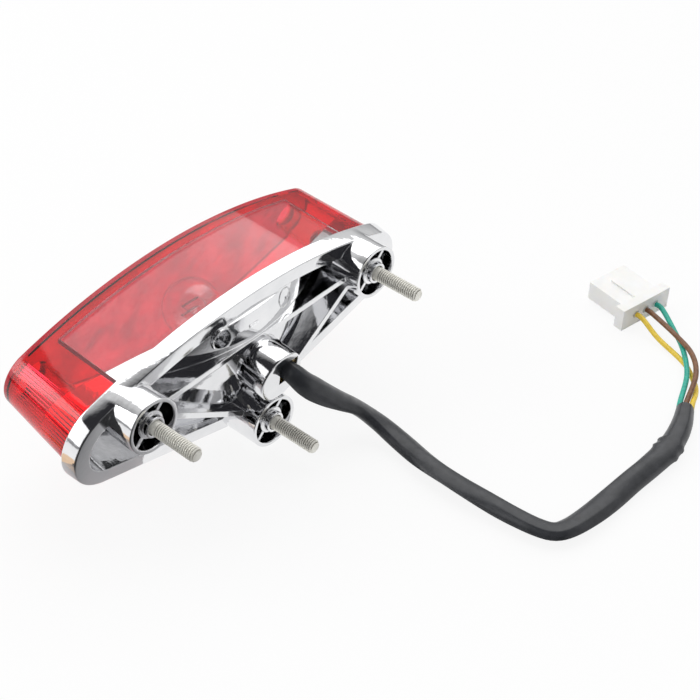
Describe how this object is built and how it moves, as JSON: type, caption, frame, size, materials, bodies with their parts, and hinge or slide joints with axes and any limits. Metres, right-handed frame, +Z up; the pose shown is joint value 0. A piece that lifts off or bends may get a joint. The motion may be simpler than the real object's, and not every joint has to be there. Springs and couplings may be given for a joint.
{
  "type": "motorcycle tail light",
  "caption": "Motorcycle tail light: deep red lens on a chromed stud-mounted housing, clear plate-light window, bayonet bulb, sleeved lead with nylon connector.",
  "frame": {"origin": "on the mounting plane, the plane of the three stud bosses' ring faces, midway between the two end studs", "axes": "X along the light, +Y out through the lens, studs along -Y, +Z up as pictured, which is the side of the clear plate window"},
  "size_m": [0.2698, 0.1901, 0.0735],
  "materials": {
    "chromed_plastic": "mirror-bright plating over moulded plastic",
    "red_lens": "clear red, polished, flutes inside the ends",
    "clear_window": "clear, polished",
    "gasket_foam": "matt closed-cell foam",
    "zinc_steel": "zinc plated, slightly yellow",
    "brass": "plain stamped",
    "phenolic": "brown laminate",
    "spring_steel": "bright wire",
    "solder": "solder blobs",
    "bulb_glass": "clear",
    "tungsten": "dull wire",
    "brown_wire": "satin insulation",
    "yellow_wire": "satin insulation",
    "green_wire": "satin insulation",
    "black_sleeve": "soft vinyl, satin",
    "white_nylon": "moulded, satin"
  },
  "bodies": {
    "light": {"housing": "chromed_plastic", "lens": "red_lens", "plate_window": "clear_window", "lens_gasket": "gasket_foam", "lens_screw_left": "zinc_steel", "lens_screw_right": "zinc_steel", "stud_left": "zinc_steel", "stud_right": "zinc_steel", "stud_lower": "zinc_steel", "bulb_socket": "brass", "contact_plate": "phenolic", "contact_tail": "brass", "contact_brake": "brass", "contact_spring": "spring_steel", "lead_tail": "brown_wire", "lead_brake": "yellow_wire", "lead_ground": "green_wire", "cable_sleeve": "black_sleeve", "wire_green": "green_wire", "wire_brown": "brown_wire", "wire_yellow": "yellow_wire", "connector": "white_nylon", "terminal_green": "brass", "terminal_brown": "brass", "terminal_yellow": "brass"},
    "bulb": {"bulb_base": "brass", "bulb_contact_tail": "solder", "bulb_contact_brake": "solder", "bulb_glass": "bulb_glass", "bulb_stem": "bulb_glass", "filament_tail": "tungsten", "filament_brake": "tungsten"}
  },
  "joints": [
    {"name": "bulb_turn", "type": "hinge", "parent": "light", "child": "bulb", "pos_m": [0, 0.01521, -0.01083], "axis": [0, 0.9898, 0.1426], "range_deg": [0, 25]}
  ]
}
